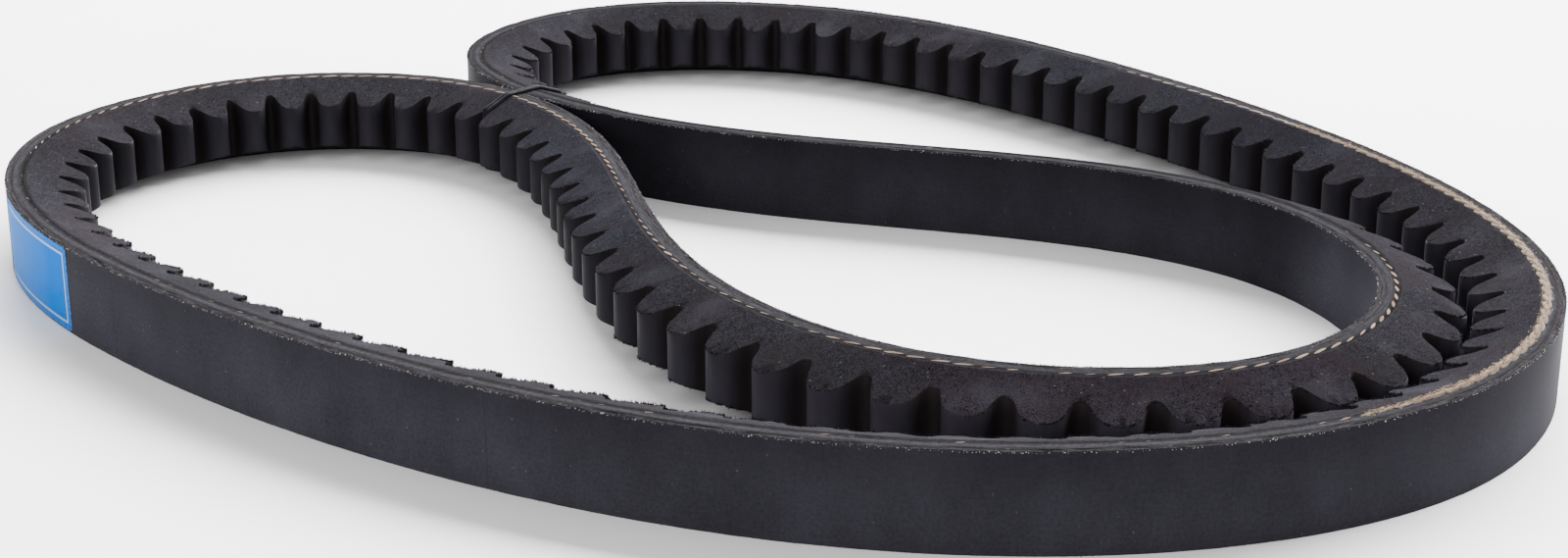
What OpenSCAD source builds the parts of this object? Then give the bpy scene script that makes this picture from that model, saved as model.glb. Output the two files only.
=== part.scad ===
// Moulded-cog V belt, folded into three lobes and tied at its neck.
// The belt lies on one flank edge: its width runs along Z and its route lies in the XY plane.
// Depths are measured from the back of the belt towards the cogs. The origin is at the middle of the
// bottom of the folded belt.

/* [Belt section] */
// Width across the back
belt_w = 16.3; // [14:0.1:18]
// Height from the back to the cog tips
belt_h = 14.7; // [13.5:0.1:14.8]
// Angle between the two flanks
flank_angle = 40; // [30:1:42]
// Height of one cog
cog_h = 5.2; // [4.5:0.1:5.5]
// Radius of a cog's rounded tip
cog_tip_r = 3.3; // [3:0.1:3.4]
// Radius of the rounded valley between two cogs
valley_r = 1.2; // [1:0.1:1.4]
// Number of cogs round the belt
cogs = 137; // [125:1:145]

/* [Layers, from the back inwards] */
// Thickness of each of the two fabric plies
ply_t = 0.6; // [0.4:0.05:0.7]
// Thickness of the tension rubber under the plies
tension_t = 0.8; // [0.5:0.05:1]
// Thickness of the adhesion rubber above the cord
gum_above_t = 0.5; // [0.4:0.05:0.7]
// Thickness of the tensile cord
cord_t = 1.2; // [0.9:0.1:1.4]
// Thickness of the adhesion rubber below the cord
gum_below_t = 0.5; // [0.45:0.05:0.8]

/* [Label] */
// Thickness of the label on the back
label_t = 0.15; // [0.1:0.05:0.3]
// Bare edge left above and below the label
label_margin = 0.3; // [0:0.1:2]

/* [Tie] */
// Thickness of the tie wire
wire_d = 0.75; // [0.5:0.05:0.9]

/* [Hidden] */
// The cord is wound at an even pitch. The outermost turns are cut flush with the flanks.
cord_turns = 10;
cord_pitch = 1.72;
function turn_name(i) = str("tensile_cord_turn_", i < 9 ? "0" : "", i + 1);

// Control points of the folded belt, anticlockwise from the left end: the front run, the right end,
// the back run, the back-left lobe, the neck, the inner lobe, the neck again and the left lobe.
// A closed cubic B-spline turns them into the lay line, which runs at a fixed depth under the back.
lay = [[-135.5, -23], [-104, -62], [-67, -95.5], [-24, -123], [23, -140], [75, -139.5], [121, -115.5],
       [143, -67], [136, -16], [115, 30], [88, 71.5], [55, 111], [14, 140.5], [-42.5, 140.5],
       [-70, 89], [-36, 43], [7, 20], [57, 9], [102, -14], [120.5, -68], [90, -113], [33, -112],
       [-4, -76], [-19.5, -27], [-27, 22], [-55, 69.5], [-110, 73], [-145, 29]];
lay_depth = 2.7;
span_steps = 16;

// Depths of the layer boundaries and of the cog valleys
d_ply = ply_t;
d_plies = 2 * ply_t;
d_tension = d_plies + tension_t;
d_gum = d_tension + gum_above_t;
d_cord = d_gum + cord_t;
d_band = d_cord + gum_below_t;
d_valley = belt_h - cog_h;
flank_slope = tan(flank_angle / 2);

// The label covers the left end of the back, counted in cogs from the start of the lay line
label_first = -0.4;
label_last = 3.1;

// The tie lies in the valleys nearest the neck's middle, and bites into the belt's lower edge
tie_valley_front = round(0.883 * cogs);
tie_valley_back = round(0.526 * cogs);
wire_gap = 0.03;
wire_sides = 6;
turn_offset = wire_d / 2 + wire_gap;
seat_h = wire_d + 2 * wire_gap;
seat_w = 2 * wire_d + 6 * wire_gap;

// ---- the lay line ----

function lay_at(i) = lay[(i + len(lay)) % len(lay)];

function line_point(u) =
    let (i = floor(u), t = u - i)
    (pow(1 - t, 3) * lay_at(i - 1) + (3 * pow(t, 3) - 6 * t * t + 4) * lay_at(i)
        + (-3 * pow(t, 3) + 3 * t * t + 3 * t + 1) * lay_at(i + 1) + pow(t, 3) * lay_at(i + 2)) / 6;

function line_heading(u) =
    let (i = floor(u), t = u - i,
         d = -pow(1 - t, 2) * lay_at(i - 1) + (3 * t * t - 4 * t) * lay_at(i)
             + (-3 * t * t + 2 * t + 1) * lay_at(i + 1) + t * t * lay_at(i + 2))
    d / norm(d);

// Table of [length walked, spline parameter] along the whole belt
walk = [for (i = 0, s = 0; i <= len(lay) * span_steps;
             s = s + norm(line_point((i + 1) / span_steps) - line_point(i / span_steps)), i = i + 1)
        [s, i / span_steps]];
line_length = walk[len(walk) - 1][0];
cog_pitch = line_length / cogs;

// Point at a given depth, at a place counted in cogs along the belt
function belt_point(cog, depth) =
    let (u = lookup((cog + cogs) % cogs * cog_pitch, walk), t = line_heading(u))
    line_point(u) + (depth - lay_depth) * [-t.y, t.x];

function belt_outline(depth, per_cog) =
    [for (k = [0:cogs * per_cog - 1]) belt_point(k / per_cog, depth)];

// ---- the layers ----

// Parallel-sided layer between two depths, with its own number of facets per cog on each side
module layer(from, to, per_cog_from = 2, per_cog_to = 2, bottom = 0, top = belt_w) {
    translate([0, 0, bottom])
        linear_extrude(top - bottom)
            difference() {
                polygon(belt_outline(from, per_cog_from));
                polygon(belt_outline(to, per_cog_to));
            }
}

module back_ply_outer() {
    color("#3a3838") difference() {
        layer(0, d_ply);
        tie_seat();
    }
}

module back_ply_inner() {
    color("#4a4444") difference() {
        layer(d_ply, d_plies);
        tie_seat();
    }
}

module tension_rubber() {
    color("#5c5e66") difference() {
        layer(d_plies, d_tension);
        tie_seat();
    }
}

module adhesion_rubber_above() {
    color("#4b4b50") difference() {
        layer(d_tension, d_gum, 2, 1);
        tie_seat();
    }
}

// Bottom and top of one cord turn, trimmed at the flanks
function turn_middle(i) = belt_w / 2 + (i - (cord_turns - 1) / 2) * cord_pitch;
function turn_bottom(i) = max(0, turn_middle(i) - cord_t / 2);
function turn_top(i) = min(belt_w, turn_middle(i) + cord_t / 2);

module cord_turn(i) {
    color("#c9a98c") difference() {
        layer(d_gum, d_cord, 1, 1, turn_bottom(i), turn_top(i));
        tie_seat();
    }
}

// Channel that one cord turn fills. It is cut through the layer's outer side, and through the
// flank where the turn lies flush with it.
module cord_channel(i) {
    spare = 0.2;
    low = turn_bottom(i) - (i == 0 ? spare : 0);
    high = turn_top(i) + (i == cord_turns - 1 ? spare : 0);
    layer(d_gum - spare, d_cord, 1, 1, low, high);
}

module adhesion_rubber_below() {
    color("#45454a") difference() {
        layer(d_gum, d_band, 1, 2);
        for (i = [0:cord_turns - 1]) cord_channel(i);
        tie_seat();
    }
}

// ---- the cogged body ----

// A cog's straight side touches the arc of its tip and the arc of the valley beside it
side_run = [cog_pitch / 2, cog_h - cog_tip_r - valley_r];
side_angle = atan2(side_run.y, side_run.x) + asin((cog_tip_r + valley_r) / norm(side_run));

// Height above the valley, at a distance along the belt from the valley's middle
function cog_rise(x) =
    let (d = min(x, cog_pitch - x), valley_end = valley_r * sin(side_angle),
         tip_start = cog_pitch / 2 - cog_tip_r * sin(side_angle))
    d <= valley_end ? valley_r - sqrt(pow(valley_r, 2) - pow(d, 2))
    : d >= tip_start ? cog_h - cog_tip_r + sqrt(pow(cog_tip_r, 2) - pow(cog_pitch / 2 - d, 2))
    : valley_r * (1 - cos(side_angle)) + (d - valley_end) * tan(side_angle);

// Places of the body's sections along one cog, from valley to valley, as parts of the pitch
cog_form = [0, 0.09, 0.2, 0.32, 0.5, 0.68, 0.8, 0.91];
form_n = len(cog_form);

// Depth of the flank's inner edge at one place of the cog form
function form_depth(j) = d_valley + cog_rise(cog_form[j] * cog_pitch);

// The body meets the layer above it along straight facets of half a cog each
function band_point(c, j) =
    let (f = cog_form[j], half = f < 0.5 ? 0 : 0.5, a = belt_point(c + half, d_band),
         b = belt_point(c + half + 0.5, d_band))
    a + (b - a) * (f - half) * 2;

// Four corners of the body's section: upper band edge, upper tip, lower tip, lower band edge
function body_section(c, j) =
    let (a = band_point(c, j), b = belt_point(c + cog_form[j], form_depth(j)),
         rise = flank_slope * (form_depth(j) - d_band))
    [[a.x, a.y, belt_w], [b.x, b.y, belt_w - rise], [b.x, b.y, rise], [a.x, a.y, 0]];

// Skin of a closed tube: rings of points, each joined to the next and the last to the first
function tube_faces(rings, sides) =
    [for (r = [0:rings - 1], k = [0:sides - 1])
        let (a = r * sides, b = (r + 1) % rings * sides, n = (k + 1) % sides)
        each [[a + k, b + k, b + n], [a + k, b + n, a + n]]];

module compression_rubber() {
    points = [for (c = [0:cogs - 1], j = [0:form_n - 1]) each body_section(c, j)];
    color("#403e42") difference() {
        polyhedron(points, tube_faces(cogs * form_n, 4));
        tie_seat();
    }
}

// ---- the label ----

module back_label() {
    places = [for (k = [label_first:0.5:label_last]) k];
    outer = [for (k = places) belt_point(k, -label_t)];
    inner = [for (k = places) belt_point(label_first + label_last - k, 0)];
    color("#4c92cc") translate([0, 0, label_margin])
        linear_extrude(belt_w - 2 * label_margin) polygon(concat(outer, inner));
}

// ---- the tie ----

// The two turns lie side by side in a valley, on the body's facets that slope up from its bottom.
// They cross each strand up to tie_skew degrees off square, which steepens one of those facets.
tie_skew = 14;
facet_angle = atan2(cog_rise(cog_form[1] * cog_pitch), cog_form[1] * cog_pitch) + tie_skew;
tie_lift = turn_offset * (1 / cos(facet_angle) - 1) + tan(facet_angle) * (turn_offset + wire_gap);
tie_depth = d_valley + tie_lift;

// The tie's plane stands across the neck, through two facing valleys
tie_front = belt_point(tie_valley_front, tie_depth);
tie_back = belt_point(tie_valley_back, tie_depth);
tie_middle = (tie_front + tie_back) / 2;
tie_across = (tie_back - tie_front) / norm(tie_back - tie_front);
tie_along = [-tie_across.y, tie_across.x];
tie_half = norm(tie_back - tie_front) / 2;
tie_flat = tie_half - (tie_depth - d_band);

// Seat pressed into the lower edge of both strands
module tie_seat() {
    seat_len = 2 * (tie_flat + seat_h / flank_slope);
    translate([tie_middle.x, tie_middle.y, 0])
        rotate(atan2(tie_across.y, tie_across.x))
            translate([-seat_len / 2, -seat_w / 2, -1]) cube([seat_len, seat_w, 1 + seat_h]);
}

// Corners of the squeezed section that the tie runs round, as [across, up], anticlockwise
tie_rise = flank_slope * (tie_depth - d_band);
tie_corners = [[tie_half, tie_rise], [tie_half, belt_w - tie_rise], [tie_flat, belt_w],
               [-tie_flat, belt_w], [-tie_half, belt_w - tie_rise], [-tie_half, tie_rise],
               [-tie_flat - seat_h / flank_slope, seat_h], [tie_flat + seat_h / flank_slope, seat_h]];

function edge_angle(i) =
    let (n = len(tie_corners), d = tie_corners[(i + 1) % n] - tie_corners[i % n])
    (atan2(d.y, d.x) - 90 + 360) % 360;

// The wire's middle rounds each corner on an arc: [[across, up], angle of the outward side]
corner_steps = 3;
wire_path = [for (i = [0:len(tie_corners) - 1])
    let (n = len(tie_corners), from = edge_angle(i + n - 1), turn = (edge_angle(i) - from + 360) % 360)
    for (k = [0:corner_steps])
        let (a = from + turn * k / corner_steps)
        [tie_corners[i] + turn_offset * [cos(a), sin(a)], a]];

function wire_ring(place, shift) =
    [for (k = [0:wire_sides - 1])
        let (a = k * 360 / wire_sides, out = wire_d / 2 * cos(a),
             across = place[0].x + out * cos(place[1]), up = place[0].y + out * sin(place[1]),
             xy = tie_middle + tie_across * across + tie_along * (shift - wire_d / 2 * sin(a)))
        [xy.x, xy.y, up]];

module tie_turn(shift) {
    points = [for (place = wire_path) each wire_ring(place, shift)];
    color("#2b2b2e") polyhedron(points, tube_faces(len(wire_path), wire_sides));
}

// The tie's two ends, twisted together and tucked upright into the valley behind the neck
twist_h = 8;
twist_turns = 3;
twist_steps = 8;
twist_r = wire_d / 2 + wire_gap;
twist_sides = 6;

module twisted_end(phase) {
    rings = twist_turns * twist_steps + 1;
    points = [for (r = [0:rings - 1], k = [0:twist_sides - 1])
        let (a = phase + r * 360 / twist_steps, b = k * 360 / twist_sides)
        [twist_r * cos(a) + wire_d / 2 * cos(b), twist_r * sin(a) + wire_d / 2 * sin(b),
         r * twist_h / (rings - 1)]];
    sides = [for (r = [0:rings - 2], k = [0:twist_sides - 1])
        let (a = r * twist_sides, b = (r + 1) * twist_sides, n = (k + 1) % twist_sides)
        each [[a + k, b + k, b + n], [a + k, b + n, a + n]]];
    bottom = [[for (k = [0:twist_sides - 1]) k]];
    top = [[for (k = [twist_sides - 1:-1:0]) (rings - 1) * twist_sides + k]];
    polyhedron(points, concat(sides, bottom, top));
}

module tie_twist() {
    reach = tie_half + turn_offset + wire_d / 2 + wire_gap + twist_r + wire_d / 2;
    spot = tie_middle + tie_across * reach;
    color("#2b2b2e") translate([spot.x, spot.y, (belt_w - twist_h) / 2]) {
        twisted_end(0);
        twisted_end(180);
    }
}

back_ply_outer();
back_ply_inner();
tension_rubber();
adhesion_rubber_above();
for (i = [0:cord_turns - 1])
    cord_turn(i);
adhesion_rubber_below();
compression_rubber();
back_label();
tie_turn(turn_offset + wire_gap);  // tie_turn_upper
tie_turn(-turn_offset - wire_gap);  // tie_turn_lower
tie_twist();
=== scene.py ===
import logging
import math
from dataclasses import dataclass
from enum import Enum

import bpy
import numpy as np
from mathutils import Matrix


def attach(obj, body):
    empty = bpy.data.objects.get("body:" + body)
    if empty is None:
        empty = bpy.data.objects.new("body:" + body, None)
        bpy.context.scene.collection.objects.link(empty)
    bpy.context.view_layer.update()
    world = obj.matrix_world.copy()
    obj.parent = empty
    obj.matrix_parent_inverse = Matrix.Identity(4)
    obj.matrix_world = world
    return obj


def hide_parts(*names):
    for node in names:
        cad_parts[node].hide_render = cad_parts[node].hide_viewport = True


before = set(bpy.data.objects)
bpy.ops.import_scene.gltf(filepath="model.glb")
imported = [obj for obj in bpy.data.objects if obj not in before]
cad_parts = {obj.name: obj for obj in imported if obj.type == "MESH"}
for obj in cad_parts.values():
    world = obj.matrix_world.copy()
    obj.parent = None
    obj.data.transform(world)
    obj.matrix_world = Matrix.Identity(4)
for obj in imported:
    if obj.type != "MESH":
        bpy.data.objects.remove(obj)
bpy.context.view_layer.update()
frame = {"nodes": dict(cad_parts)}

LOG = logging.getLogger("belt")
MM = 0.001

Material = bpy.types.Material
Piece = bpy.types.Object
Socket = bpy.types.NodeSocket
Value = Socket | float
Colour = tuple[float, float, float]
Marks = tuple[tuple[float, float], ...]


# ---- The belt's route and section ----------------------------------------------------


@dataclass(frozen=True)
class BeltRoute:
    """The lay line of the folded belt: a closed cubic B-spline in the floor plane."""

    lay: Marks = (
        (-135.5, -23), (-104, -62), (-67, -95.5), (-24, -123), (23, -140), (75, -139.5),
        (121, -115.5), (143, -67), (136, -16), (115, 30), (88, 71.5), (55, 111), (14, 140.5),
        (-42.5, 140.5), (-70, 89), (-36, 43), (7, 20), (57, 9), (102, -14), (120.5, -68),
        (90, -113), (33, -112), (-4, -76), (-19.5, -27), (-27, 22), (-55, 69.5), (-110, 73),
        (-145, 29),
    )
    span_steps: int = 16
    cogs: int = 137
    lay_depth: float = 2.7 * MM

    def spline(self, u: np.ndarray) -> tuple[np.ndarray, np.ndarray]:
        """Point and unit heading of the spline.

        The point is the cubic B-spline blend of four neighbouring control points, and the
        heading is its derivative made unit length.

        Args:
            u: spline parameters, one whole number per control point.

        Returns:
            Points and headings, each of shape (n, 2), in metres and as unit vectors.
        """
        q = np.array(self.lay, float) * MM
        i = np.floor(u).astype(int)
        t = u - i
        shares = ((1 - t) ** 3, 3 * t**3 - 6 * t**2 + 4, -3 * t**3 + 3 * t**2 + 3 * t + 1, t**3)
        slopes = (-((1 - t) ** 2), 3 * t**2 - 4 * t, -3 * t**2 + 2 * t + 1, t**2)
        corners = q[(i[:, None] + np.arange(-1, 3)) % len(q)]
        point = ((np.stack(shares, -1) / 6)[..., None] * corners).sum(1)
        head = ((np.stack(slopes, -1) / 2)[..., None] * corners).sum(1)
        return point, head / np.linalg.norm(head, axis=1, keepdims=True)

    def table(self) -> tuple[np.ndarray, np.ndarray]:
        """Length walked along the belt in short straight steps.

        Returns:
            The lengths in metres, and the spline parameters they are reached at.
        """
        u = np.arange(len(self.lay) * self.span_steps + 1) / self.span_steps
        steps = np.linalg.norm(np.diff(self.spline(u)[0], axis=0), axis=1)
        return np.concatenate([[0.0], np.cumsum(steps)]), u

    @property
    def length(self) -> float:
        """Length of the lay line, in metres."""
        return float(self.table()[0][-1])

    @property
    def pitch(self) -> float:
        """Distance from one cog to the next on the lay line, in metres."""
        return self.length / self.cogs

    def at(self, cog: np.ndarray) -> tuple[np.ndarray, np.ndarray, np.ndarray]:
        """Lay line at places counted in cogs.

        Args:
            cog: places along the belt, shape (n,).

        Returns:
            Points, headings and cogward normals, each of shape (n, 2).
        """
        walked, u = self.table()
        point, head = self.spline(np.interp(np.mod(cog, self.cogs) * self.pitch, walked, u))
        return point, head, np.stack([-head[:, 1], head[:, 0]], -1)

    def place(self, cog: np.ndarray, depth: np.ndarray, height: np.ndarray) -> np.ndarray:
        """Puts section points on the belt.

        A section point is the lay-line point, moved along the cogward normal by its depth
        under the back less the lay line's own depth, and lifted by its height.

        Args:
            cog: stations along the belt, shape (n,).
            depth: depths under the back, shape (n, k), in metres.
            height: heights over the floor, shape (n, k), in metres.

        Returns:
            Points of shape (n, k, 3).
        """
        point, _, inward = self.at(cog)
        xy = point[:, None, :] + inward[:, None, :] * (depth - self.lay_depth)[..., None]
        return np.concatenate([xy, height[..., None]], -1)

    def spots(
        self, cog: np.ndarray, depth: np.ndarray | float, height: np.ndarray | float
    ) -> np.ndarray:
        """Puts one point per station on the belt.

        Args:
            cog: stations along the belt, shape (n,).
            depth: one depth under the back, or one per station.
            height: one height over the floor, or one per station.

        Returns:
            Points of shape (n, 3).
        """
        depth, height = (np.broadcast_to(v, cog.shape)[:, None] for v in (depth, height))
        return self.place(cog, depth, height)[:, 0]


@dataclass(frozen=True)
class BeltSection:
    """Cross-section of the belt, in metres."""

    width: float = 16.3 * MM
    height: float = 14.7 * MM
    half_angle: float = math.radians(20)
    band: float = 4.2 * MM
    cog_height: float = 5.2 * MM
    tip_radius: float = 3.3 * MM
    valley_radius: float = 1.2 * MM

    @property
    def valley(self) -> float:
        """Depth of a cog valley under the back."""
        return self.height - self.cog_height

    def flank_rise(self, depth: np.ndarray) -> np.ndarray:
        """How far a flank leans in at a depth: nothing in the band, then the flank's slope."""
        return math.tan(self.half_angle) * np.maximum(depth - self.band, 0)

    def cog_rise(self, phase: np.ndarray, pitch: float) -> np.ndarray:
        """Height of the cogs over their valleys.

        A valley is an arc, a tip is a wider arc, and a straight side touches both.

        Args:
            phase: place along the belt in cogs, where whole numbers are valleys.
            pitch: distance from cog to cog.

        Returns:
            Heights, in metres.
        """
        rv, rt, h, half = self.valley_radius, self.tip_radius, self.cog_height, pitch / 2
        rise = h - rt - rv
        side = math.atan2(rise, half) + math.asin((rt + rv) / math.hypot(half, rise))
        d = np.abs((phase + 0.5) % 1 - 0.5) * pitch
        a, b = rv * math.sin(side), half - rt * math.sin(side)
        arc_in = rv - np.sqrt(np.maximum(rv**2 - d**2, 0))
        arc_out = h - rt + np.sqrt(np.maximum(rt**2 - (half - d) ** 2, 0))
        straight = rv * (1 - math.cos(side)) + (d - a) * math.tan(side)
        return np.where(d <= a, arc_in, np.where(d >= b, arc_out, straight))


ROUTE = BeltRoute()
SECTION = BeltSection()


# ---- Mesh helpers --------------------------------------------------------------------


def smooth_noise(count: int, grain: float, seed: int) -> np.ndarray:
    """Closed, smooth random line between about -1 and 1.

    Random values are blurred on a ring with a Gaussian whose width is the grain, through the
    Fourier transform, and scaled to unit spread.

    Args:
        count: number of values on the ring.
        grain: width of the blur, in values.
        seed: seed of the random values.

    Returns:
        The values, shape (count,).
    """
    raw = np.random.default_rng(seed).normal(size=count)
    freq = np.fft.rfftfreq(count)
    soft = np.fft.irfft(np.fft.rfft(raw) * np.exp(-2 * (math.pi * freq * grain) ** 2), count)
    return np.clip(soft / max(soft.std(), 1e-9) / 2, -1, 1)


def smooth_lines(count: int, grain: float, *seeds: int) -> np.ndarray:
    """Smooth random lines side by side, one per seed, shape (count, seeds)."""
    return np.stack([smooth_noise(count, grain, seed) for seed in seeds], -1)


def by_cog(cog: np.ndarray, marks: Marks) -> np.ndarray:
    """Values at places along the belt, blended straight between marks of (cog, value)."""
    return np.interp(cog, *np.array(marks).T)


def grid_faces(rows: int, cols: int, close_rows: bool, close_cols: bool) -> np.ndarray:
    """Quads of a grid of points, wound so that (row step) x (column step) points outwards.

    Args:
        rows: number of rows.
        cols: number of points in a row.
        close_rows: whether the last row joins the first.
        close_cols: whether each row's last point joins its first.

    Returns:
        Point numbers, shape (quads, 4).
    """
    r = np.arange(rows if close_rows else rows - 1)[:, None]
    c = np.arange(cols if close_cols else cols - 1)[None, :]
    r2, c2 = (r + 1) % rows, (c + 1) % cols
    corners = (r * cols + c, r2 * cols + c, r2 * cols + c2, r * cols + c2)
    return np.stack(np.broadcast_arrays(*corners), -1).reshape(-1, 4)


def sweep(
    cog: np.ndarray, depth: np.ndarray, height: np.ndarray, around: np.ndarray, flip: bool = True
) -> tuple[np.ndarray, np.ndarray, np.ndarray]:
    """Carries a closed ring of section points once round the belt.

    Args:
        cog: stations along the belt, shape (n,).
        depth: depths of the ring's points under the back, shape (n, k).
        height: their heights over the floor, shape (n, k).
        around: way walked round the ring in metres, shape (k,) or (n, k).
        flip: whether the ring runs against the outward winding.

    Returns:
        Points (n * k, 3), quads (n * k, 4) and UV positions per corner (n * k, 4, 2).
    """
    quads = grid_faces(*depth.shape, True, True)
    if flip:
        quads = quads[:, ::-1]
    along = np.broadcast_to((cog * ROUTE.pitch)[:, None], depth.shape)
    uv = np.stack([along, np.broadcast_to(around, depth.shape)], -1).reshape(-1, 2)
    return ROUTE.place(cog, depth, height).reshape(-1, 3), quads, uv[quads]


def build_mesh(
    name: str,
    points: np.ndarray,
    faces: np.ndarray,
    uv: np.ndarray | None = None,
    smooth: bool = True,
    values: dict[str, np.ndarray] | None = None,
) -> Piece:
    """Makes an object from arrays.

    Args:
        name: name of the piece.
        points: vertex positions, shape (n, 3).
        faces: vertex indices, shape (f, k), all faces with the same number of corners.
        uv: texture positions per face corner, shape (f, k, 2).
        smooth: whether the faces are shaded smooth.
        values: float attributes per vertex.

    Returns:
        The linked object, at the origin.
    """
    mesh = bpy.data.meshes.new(name)
    count, corners = faces.shape
    mesh.vertices.add(len(points))
    mesh.vertices.foreach_set("co", points.astype(np.float32).ravel())
    mesh.loops.add(count * corners)
    mesh.loops.foreach_set("vertex_index", faces.astype(np.int32).ravel())
    mesh.polygons.add(count)
    mesh.polygons.foreach_set("loop_start", np.arange(0, count * corners, corners, dtype=np.int32))
    mesh.polygons.foreach_set("use_smooth", np.full(count, smooth))
    if uv is not None:
        mesh.uv_layers.new(name="UVMap").data.foreach_set("uv", uv.astype(np.float32).ravel())
    for key, data in (values or {}).items():
        layer = mesh.attributes.new(key, "FLOAT", "POINT")
        layer.data.foreach_set("value", data.astype(np.float32).ravel())
    mesh.update()
    mesh.validate()
    piece = bpy.data.objects.new(name, mesh)
    bpy.context.scene.collection.objects.link(piece)
    return piece


def dress(
    piece: Piece, *finishes: Material, second: np.ndarray | None = None, crisp: float = 0.0
) -> None:
    """Puts finishes on a piece and keeps its sharp edges crisp.

    Args:
        piece: the piece.
        finishes: its finishes.
        second: which faces take the second finish.
        crisp: edges sharper than this many degrees stay crisp.
    """
    for finish in finishes:
        piece.data.materials.append(finish)
    if second is not None:
        piece.data.polygons.foreach_set("material_index", second.astype(np.int32))
    if crisp:
        piece.data.set_sharp_from_angle(angle=math.radians(crisp))


def seat(piece: Piece, slot: str, *nodes: str) -> Piece:
    """Attaches a piece to its body and hides the CAD nodes that it stands for.

    Args:
        piece: the piece.
        slot: name of its finish slot; not used.
        nodes: names of the CAD nodes that it replaces.

    Returns:
        The same piece.
    """
    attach(piece, "root")
    if nodes:
        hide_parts(*nodes)
    return piece


# ---- Finishes ------------------------------------------------------------------------


class Nodes:
    """A short hand for wiring one material's nodes."""

    def __init__(self, name: str) -> None:
        """Starts a material with one surface shader.

        Args:
            name: name of the material.
        """
        self.material = bpy.data.materials.new(name)
        self.material.use_nodes = True
        self.tree = self.material.node_tree
        self.shader = next(n for n in self.tree.nodes if n.type == "BSDF_PRINCIPLED")

    def wire(self, node: bpy.types.Node, inputs: dict) -> None:
        """Sets a node's inputs, or wires them where sockets are given.

        Args:
            node: the node.
            inputs: numbers, colours of three numbers, or sockets, by input.
        """
        for key, value in inputs.items():
            if isinstance(value, Socket):
                self.tree.links.new(value, node.inputs[key])
            elif node.inputs[key].type == "RGBA":
                node.inputs[key].default_value = (*value, 1.0)
            else:
                node.inputs[key].default_value = value

    def add(self, kind: str, inputs: dict | None = None, **props: object) -> bpy.types.Node:
        """Adds a node.

        Args:
            kind: Blender's name of the node type.
            inputs: what its inputs are set to or wired to.
            props: its properties.

        Returns:
            The node.
        """
        node = self.tree.nodes.new(kind)
        for key, value in props.items():
            setattr(node, key, value)
        self.wire(node, inputs or {})
        return node

    def scaled(self, where: Socket, scale: tuple[float, ...]) -> Socket:
        """A position, scaled per axis."""
        return self.add("ShaderNodeMapping", {"Vector": where, "Scale": scale}).outputs["Vector"]

    def position(self, *scale: float) -> Socket:
        """Object position in metres, scaled by one number or by one per axis."""
        where = self.add("ShaderNodeTexCoord").outputs["Object"]
        return self.scaled(where, scale if len(scale) == 3 else scale * 3)

    def along(self, run: float, across: float) -> Socket:
        """UV position, scaled: metres along the belt, and metres round its section."""
        where = self.add("ShaderNodeUVMap", uv_map="UVMap").outputs["UV"]
        return self.scaled(where, (run, across, 1))

    def noise(self, vector: Socket, detail: float = 3, rough: float = 0.6) -> Socket:
        """Fractal noise between 0 and 1, at one cell per unit of the vector."""
        inputs = {"Vector": vector, "Scale": 1.0, "Detail": detail, "Roughness": rough}
        return self.add("ShaderNodeTexNoise", inputs).outputs["Fac"]

    def specks(
        self, vector: Socket, size: tuple[float, float], rare: tuple[float, float]
    ) -> Socket:
        """Round specks in a share of a Voronoi pattern's cells.

        Args:
            vector: position, at one cell per unit.
            size: distance from a cell's middle where a speck starts and where it is full.
            rare: random number of a cell where specks start and where they are full.

        Returns:
            The specks' strength.
        """
        cells = self.add("ShaderNodeTexVoronoi", {"Vector": vector, "Scale": 1.0})
        pick = self.add("ShaderNodeSeparateColor", {"Color": cells.outputs["Color"]}).outputs[0]
        return self.times(self.spread(cells.outputs["Distance"], *size), self.spread(pick, *rare))

    def value(self, name: str) -> Socket:
        """A float attribute of the mesh."""
        return self.add("ShaderNodeAttribute", attribute_name=name).outputs["Fac"]

    def ramp(self, fac: Socket, *stops: tuple[float, Colour]) -> Socket:
        """Colours by a factor, with straight blends between the stops.

        Args:
            fac: the factor.
            stops: places between 0 and 1, each with its colour.

        Returns:
            The colour.
        """
        node = self.add("ShaderNodeValToRGB", {"Fac": fac})
        marks = node.color_ramp.elements
        while len(marks) < len(stops):
            marks.new(0.5)
        for mark, (place, colour) in zip(marks, stops):
            mark.position = place
            mark.color = (*colour, 1.0)
        return node.outputs["Color"]

    def spread(
        self, fac: Socket, low: float, high: float, to_low: float = 0.0, to_high: float = 1.0
    ) -> Socket:
        """Maps a factor's range onto another, clamped."""
        ranges = {"From Min": low, "From Max": high, "To Min": to_low, "To Max": to_high}
        return self.add("ShaderNodeMapRange", {"Value": fac, **ranges}).outputs["Result"]

    def mix(
        self, amount: Value, a: Socket | Colour, b: Socket | Colour, blend: str = "MIX"
    ) -> Socket:
        """Blends two colours by an amount.

        Args:
            amount: how much of the second is taken.
            a: the first colour.
            b: the second colour.
            blend: Blender's name of the way of blending.

        Returns:
            The colour.
        """
        node = self.add("ShaderNodeMix", data_type="RGBA", blend_type=blend)
        self.wire(node, {0: amount, 6: a, 7: b})
        return node.outputs[2]

    def lay(self, base: Socket, colour: Colour, amount: Socket, weight: float) -> Socket:
        """Lays a colour over a base, by an amount times a weight."""
        return self.mix(self.times(amount, weight), base, colour)

    def tint(self, base: Socket, by: Socket | Colour, amount: Value = 1.0) -> Socket:
        """Multiplies a colour by another, or by a number."""
        return self.mix(amount, base, by, "MULTIPLY")

    def math(self, kind: str, a: Value, b: Value = 0.0) -> Socket:
        """One arithmetic step."""
        return self.add("ShaderNodeMath", {0: a, 1: b}, operation=kind).outputs[0]

    def plus(self, a: Value, b: Value) -> Socket:
        """Sum of two numbers."""
        return self.math("ADD", a, b)

    def times(self, a: Value, b: Value) -> Socket:
        """Product of two numbers."""
        return self.math("MULTIPLY", a, b)

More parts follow.
